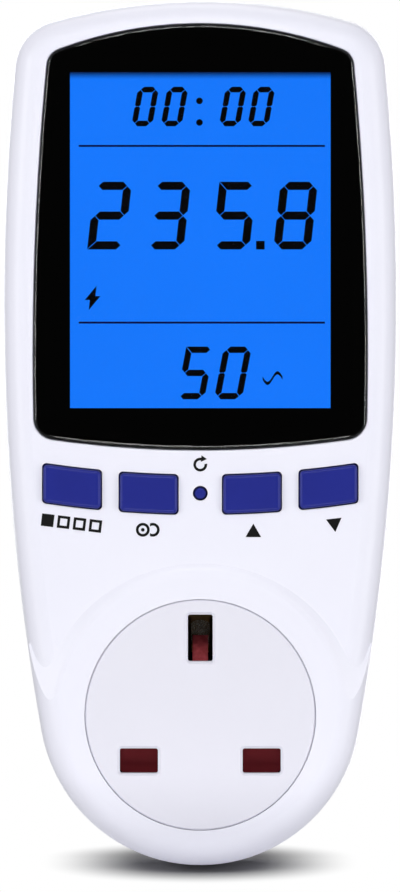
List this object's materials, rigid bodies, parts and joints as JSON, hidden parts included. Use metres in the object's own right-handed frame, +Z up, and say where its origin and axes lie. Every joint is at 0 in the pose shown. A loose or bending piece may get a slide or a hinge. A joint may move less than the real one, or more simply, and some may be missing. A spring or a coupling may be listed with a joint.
{
  "type": "plug-in electricity energy monitor",
  "caption": "Plug-in energy monitor: bow-sided upright housing with a lit display, a row of keys, a shuttered three-pin pass-through socket and plug pins behind.",
  "frame": {"origin": "on the plug face, in the middle of the pin pattern", "axes": "+Z up along the housing, towards the display; +Y out of the plug face along the pins, so the front with display and socket faces -Y; +X to the right seen from the front"},
  "size_m": [0.0718, 0.063, 0.1572],
  "materials": {
    "casing_white": "fine satin moulded ABS",
    "window_clear": "glossy clear acrylic",
    "mask_black": "black print behind the window",
    "key_blue": "satin blue moulded plastic",
    "plunger_white": "tact switch plunger",
    "switch_black": "tact switch body",
    "board_green": "solder mask over glass laminate",
    "steel": "zinc plated steel",
    "lcd_glass": "clear glass cell",
    "polariser": "polarising film, lit blue from behind",
    "guide_clear": "edge lit light guide",
    "reflector_white": "white reflecting film",
    "led_blue": "side emitters",
    "frame_white": "moulded plastic",
    "elastomer": "layered silicone connector",
    "epoxy_black": "moulded epoxy",
    "header_cream": "moulded nylon",
    "ribbon_grey": "flat ribbon cable",
    "board_tan": "bare paper laminate",
    "film_yellow": "potted film capacitor box",
    "varistor_blue": "dipped coating",
    "resistor_body": "lacquered body",
    "can_sleeve": "sleeved aluminium can",
    "crystal_can": "drawn metal can",
    "cell_steel": "plated steel cell case",
    "pin_brass": "nickel washed brass",
    "sleeve_black": "moulded pin insulation",
    "insert_white": "fine satin moulded plastic",
    "carrier_grey": "moulded thermoset",
    "contact_brass": "bare spring brass",
    "shunt_alloy": "bare resistance alloy strip",
    "wire_blue": "insulated wire",
    "wire_red": "insulated wire",
    "wire_yellow": "insulated wire",
    "shutter_red": "satin dark red moulded plastic",
    "spring_steel": "spring wire"
  },
  "bodies": {
    "housing": {"front_cover": "casing_white", "rear_cover": "casing_white", "display_window": "window_clear", "window_mask": "mask_black", "key_switches": "switch_black", "display_board": "board_green", "display_board_screws": "steel", "lcd_front_glass": "lcd_glass", "lcd_rear_glass": "lcd_glass", "front_polariser": "polariser", "rear_polariser": "polariser", "backlight_guide": "guide_clear", "backlight_reflector": "reflector_white", "backlight_leds": "led_blue", "lcd_frame": "frame_white", "zebra_connector": "elastomer", "controller_blob": "epoxy_black", "display_header": "header_cream", "power_header": "header_cream", "ribbon_cable": "ribbon_grey", "power_board": "board_tan", "power_board_screws": "steel", "x2_capacitor": "film_yellow", "varistor": "varistor_blue", "dropper_resistor": "resistor_body", "smoothing_capacitor": "can_sleeve", "metering_chip": "epoxy_black", "metering_crystal": "crystal_can", "backup_cells": "cell_steel", "battery_cradle": "epoxy_black", "live_pin": "pin_brass", "neutral_pin": "pin_brass", "earth_pin": "pin_brass", "live_sleeve": "sleeve_black", "neutral_sleeve": "sleeve_black", "socket_insert": "insert_white", "contact_carrier": "carrier_grey", "carrier_screws": "steel", "neutral_contact": "contact_brass", "live_contact": "contact_brass", "earth_contact": "contact_brass", "shunt": "shunt_alloy", "neutral_wire": "wire_blue", "live_wire": "wire_red", "sense_wire": "wire_yellow", "shutter_spring": "spring_steel", "housing_screws": "steel"},
    "function_key": {"function_button": "key_blue", "function_plunger": "plunger_white"},
    "cost_key": {"cost_button": "key_blue", "cost_plunger": "plunger_white"},
    "up_key": {"up_button": "key_blue", "up_plunger": "plunger_white"},
    "down_key": {"down_button": "key_blue", "down_plunger": "plunger_white"},
    "reset_key": {"reset_button": "key_blue", "reset_plunger": "plunger_white"},
    "shutter": {"shutter": "shutter_red"}
  },
  "joints": [
    {"name": "function_press", "type": "slide", "parent": "housing", "child": "function_key", "axis": [0, 1, 0], "range_m": [0, 0.0005], "stiffness_N_per_m": 600},
    {"name": "cost_press", "type": "slide", "parent": "housing", "child": "cost_key", "axis": [0, 1, 0], "range_m": [0, 0.0005], "stiffness_N_per_m": 600},
    {"name": "up_press", "type": "slide", "parent": "housing", "child": "up_key", "axis": [0, 1, 0], "range_m": [0, 0.0005], "stiffness_N_per_m": 600},
    {"name": "down_press", "type": "slide", "parent": "housing", "child": "down_key", "axis": [0, 1, 0], "range_m": [0, 0.0005], "stiffness_N_per_m": 600},
    {"name": "reset_press", "type": "slide", "parent": "housing", "child": "reset_key", "axis": [0, 1, 0], "range_m": [0, 0.0005], "stiffness_N_per_m": 600},
    {"name": "shutter_slide", "type": "slide", "parent": "housing", "child": "shutter", "axis": [0, 0, -1], "range_m": [0, 0.005], "stiffness_N_per_m": 60, "deforming": ["shutter_spring"]}
  ]
}
